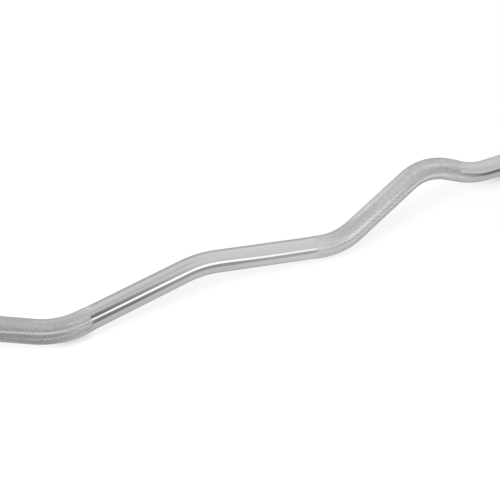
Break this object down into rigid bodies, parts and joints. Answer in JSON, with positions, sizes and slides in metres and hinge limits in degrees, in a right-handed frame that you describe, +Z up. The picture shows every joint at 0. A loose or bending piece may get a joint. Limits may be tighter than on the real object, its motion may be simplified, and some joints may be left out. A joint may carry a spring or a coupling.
{
  "type": "ez curl bar",
  "caption": "W-bent chromed curl bar with knurled angled grips and free-turning sleeves with plate stops for large-hole weight plates",
  "frame": {"origin": "on the floor, under the middle of the bar, with the bar lying on its two plate stops and its two low bends", "axes": "+X along the sleeves' common axis, +Z up from the floor, +Y to the side the high bends lean to"},
  "size_m": [1.22, 0.0661, 0.064],
  "materials": {
    "shaft_chrome": "polished chrome plate, diamond knurl on the grips",
    "sleeve_chrome": "satin chrome plate",
    "hub_steel": "turned",
    "bush_bronze": "oil-filled sintered bronze",
    "washer_steel": "ground",
    "spring_steel": "black phosphate",
    "cap_plastic": "moulded, fine grain",
    "seal_rubber": "matte"
  },
  "bodies": {
    "shaft": {"shaft": "shaft_chrome", "left_inner_thrust_washer": "washer_steel", "left_outer_thrust_washer": "washer_steel", "left_shaft_snap_ring": "spring_steel", "right_inner_thrust_washer": "washer_steel", "right_outer_thrust_washer": "washer_steel", "right_shaft_snap_ring": "spring_steel"},
    "left_sleeve": {"left_sleeve_tube": "sleeve_chrome", "left_sleeve_collar": "sleeve_chrome", "left_dust_seal": "seal_rubber", "left_inner_hub": "hub_steel", "left_outer_hub": "hub_steel", "left_inner_bush": "bush_bronze", "left_outer_bush": "bush_bronze", "left_end_cap": "cap_plastic", "left_cap_snap_ring": "spring_steel"},
    "right_sleeve": {"right_sleeve_tube": "sleeve_chrome", "right_sleeve_collar": "sleeve_chrome", "right_dust_seal": "seal_rubber", "right_inner_hub": "hub_steel", "right_outer_hub": "hub_steel", "right_inner_bush": "bush_bronze", "right_outer_bush": "bush_bronze", "right_end_cap": "cap_plastic", "right_cap_snap_ring": "spring_steel"}
  },
  "joints": [
    {"name": "left_sleeve_spin", "type": "hinge", "parent": "shaft", "child": "left_sleeve", "pos_m": [-0.52, 0, 0.032], "axis": [1, 0, 0], "continuous": true},
    {"name": "right_sleeve_spin", "type": "hinge", "parent": "shaft", "child": "right_sleeve", "pos_m": [0.52, 0, 0.032], "axis": [1, 0, 0], "continuous": true}
  ]
}
